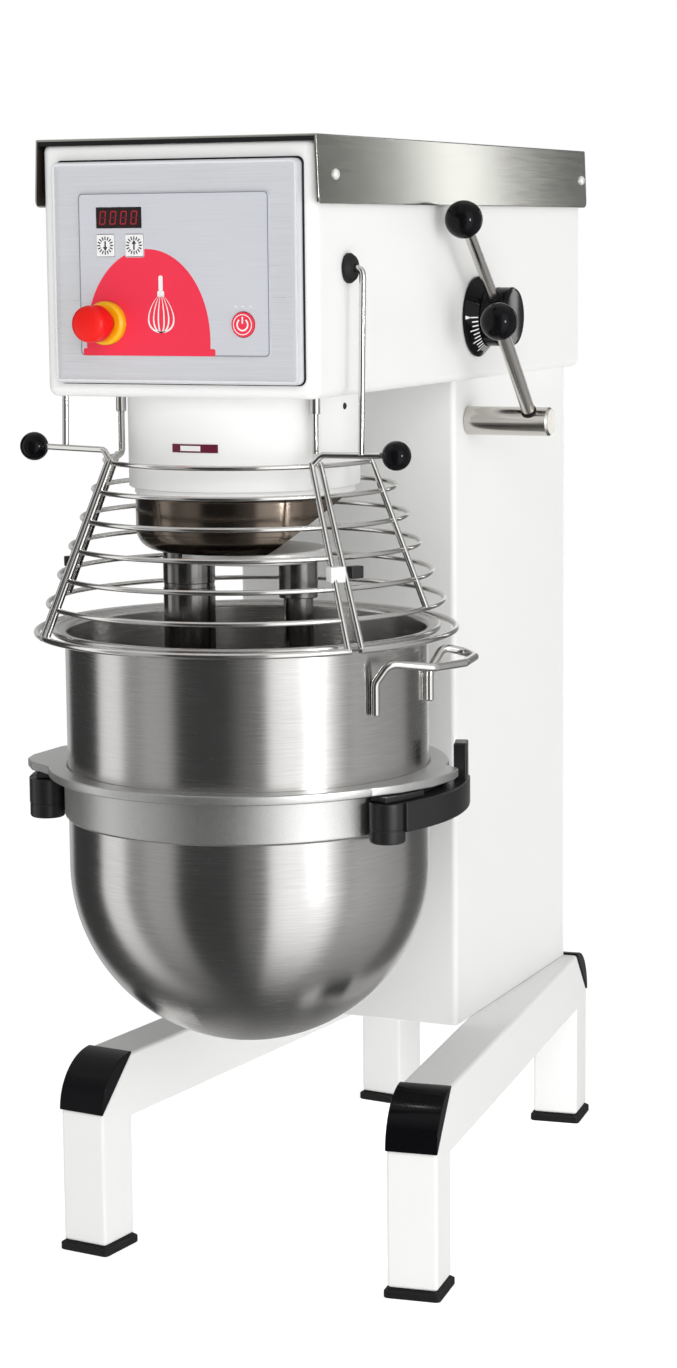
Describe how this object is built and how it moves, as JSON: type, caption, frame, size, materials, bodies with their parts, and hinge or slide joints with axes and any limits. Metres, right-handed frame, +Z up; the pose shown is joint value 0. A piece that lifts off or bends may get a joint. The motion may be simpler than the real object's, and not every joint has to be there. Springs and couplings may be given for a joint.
{
  "type": "commercial stand mixer",
  "caption": "Floor-standing planetary mixer with a bowl on a lifting yoke, wire guard, control fascia, two side levers and a four-legged base.",
  "frame": {"origin": "on the floor, in the middle of the machine's bounding box", "axes": "+Z up; the controls face -Y; the levers are on the +X side"},
  "size_m": [0.5466, 1.0424, 1.3691],
  "materials": {
    "white_enamel": "smooth white enamel, semi-gloss",
    "cover_steel": "brushed stainless sheet",
    "panel_steel": "brushed stainless fascia",
    "control_film": "printed control film",
    "display": "dark display window",
    "key_white": "white keys",
    "coral": "coral red button",
    "stop_red": "red mushroom button",
    "stop_yellow": "yellow collar",
    "bowl_steel": "brushed stainless bowl",
    "polished_steel": "polished stainless",
    "cast_satin": "satin cast collar",
    "cast_beater": "satin cast aluminium",
    "black_cast": "black semi-gloss coated casting",
    "black_gloss": "glossy black plastic",
    "black_matte": "matt black plastic",
    "black_rubber": "black rubber",
    "gear_steel": "machined steel",
    "motor_grey": "painted motor casing",
    "board": "circuit board"
  },
  "bodies": {
    "machine": {"side_frame_left": "white_enamel", "side_frame_right": "white_enamel", "foot_pad_front_left": "black_rubber", "foot_pad_front_right": "black_rubber", "foot_pad_rear_left": "black_rubber", "foot_pad_rear_right": "black_rubber", "corner_cap_front_left": "black_matte", "corner_cap_front_right": "black_matte", "corner_cap_rear_left": "black_matte", "corner_cap_rear_right": "black_matte", "column_shell": "white_enamel", "column_rear_cover": "white_enamel", "head_housing": "white_enamel", "top_cover": "cover_steel", "control_panel": "panel_steel", "panel_overlay": "control_film", "display_window": "display", "stop_collar": "stop_yellow", "control_board": "board", "gearbox_drum": "white_enamel", "ring_gear": "gear_steel", "main_bearing_lower": "gear_steel", "main_bearing_upper": "gear_steel", "drive_belt": "black_rubber", "drive_motor": "motor_grey", "lift_guide": "gear_steel", "speed_dial": "black_matte", "guard_bush_left": "black_rubber", "guard_bush_right": "black_rubber", "guard_rear": "polished_steel"},
    "planet": {"planet_head": "polished_steel", "main_shaft": "gear_steel", "bowl_scraper": "polished_steel", "driven_pulley": "gear_steel"},
    "tool": {"tool_spindle": "polished_steel", "planet_pinion": "gear_steel", "flat_beater": "cast_beater"},
    "motor_rotor": {"motor_pulley": "gear_steel"},
    "bowl_carriage": {"bowl": "bowl_steel", "bowl_collar": "cast_satin", "bowl_handle": "polished_steel", "bowl_yoke": "black_cast", "lift_carriage": "gear_steel"},
    "lift_idler": {"lift_idler": "gear_steel"},
    "lift_lever": {"lift_shaft": "polished_steel", "lift_sector": "gear_steel", "lift_lever_rod": "polished_steel", "lift_knob": "black_gloss"},
    "speed_lever": {"speed_hub": "black_matte", "speed_lever_rod": "polished_steel", "speed_knob": "black_gloss"},
    "guard": {"guard_front": "polished_steel", "guard_knob_left": "black_gloss", "guard_knob_right": "black_gloss"},
    "stop_button": {"stop_button": "stop_red"},
    "start_button": {"start_button": "coral"},
    "key_down": {"key_down": "key_white"},
    "key_up": {"key_up": "key_white"},
    "latch_left": {"latch_left": "black_matte"},
    "latch_right": {"latch_right": "black_matte"}
  },
  "joints": [
    {"name": "planet_spin", "type": "hinge", "parent": "machine", "child": "planet", "pos_m": [-0.0073, -0.26803, 0.92], "axis": [0, 0, 1], "continuous": true},
    {"name": "tool_spin", "type": "hinge", "parent": "planet", "child": "tool", "pos_m": [-0.06942, -0.29569, 0.86], "axis": [0, 0, 1], "continuous": true},
    {"name": "motor_spin", "type": "hinge", "parent": "machine", "child": "motor_rotor", "pos_m": [-0.0073, 0.34197, 1.26], "axis": [0, 0, 1], "continuous": true},
    {"name": "bowl_lift", "type": "slide", "parent": "machine", "child": "bowl_carriage", "axis": [0, 0, 1], "range_m": [-0.14, 0]},
    {"name": "lift_idler_spin", "type": "hinge", "parent": "machine", "child": "lift_idler", "pos_m": [-0.0073, 0.17997, 1.0255], "axis": [1, 0, 0], "range_deg": [-335, 0]},
    {"name": "lift_lever_turn", "type": "hinge", "parent": "machine", "child": "lift_lever", "pos_m": [0.1927, 0.07597, 1.0255], "axis": [1, 0, 0], "range_deg": [0, 101]},
    {"name": "speed_lever_turn", "type": "hinge", "parent": "machine", "child": "speed_lever", "pos_m": [0.1927, 0.05257, 1.1567], "axis": [-1, 0, 0], "range_deg": [0, 90]},
    {"name": "guard_swing", "type": "hinge", "parent": "machine", "child": "guard", "pos_m": [-0.0073, -0.35103, 1.222], "axis": [-1, 0, 0], "range_deg": [0, 95]},
    {"name": "stop_push", "type": "slide", "parent": "machine", "child": "stop_button", "axis": [0, 1, 0], "range_m": [0, 0.005], "stiffness_N_per_m": 900},
    {"name": "start_push", "type": "slide", "parent": "machine", "child": "start_button", "axis": [0, 1, 0], "range_m": [0, 0.002], "stiffness_N_per_m": 800},
    {"name": "key_down_push", "type": "slide", "parent": "machine", "child": "key_down", "axis": [0, 1, 0], "range_m": [0, 0.0015], "stiffness_N_per_m": 800},
    {"name": "key_up_push", "type": "slide", "parent": "machine", "child": "key_up", "axis": [0, 1, 0], "range_m": [0, 0.0015], "stiffness_N_per_m": 800},
    {"name": "latch_left_swing", "type": "hinge", "parent": "bowl_carriage", "child": "latch_left", "pos_m": [-0.22929, -0.36687, 0.6], "axis": [0, 0, 1], "range_deg": [0, 60]},
    {"name": "latch_right_swing", "type": "hinge", "parent": "bowl_carriage", "child": "latch_right", "pos_m": [0.2147, -0.36687, 0.6], "axis": [0, 0, -1], "range_deg": [0, 60]}
  ],
  "couplings": [
    {"joint": "tool_spin", "follows": "planet_spin", "ratio": -3},
    {"joint": "motor_spin", "follows": "planet_spin", "ratio": 3},
    {"joint": "lift_idler_spin", "follows": "bowl_lift", "rad_per_m": 41.667},
    {"joint": "lift_lever_turn", "follows": "bowl_lift", "rad_per_m": -12.5}
  ]
}
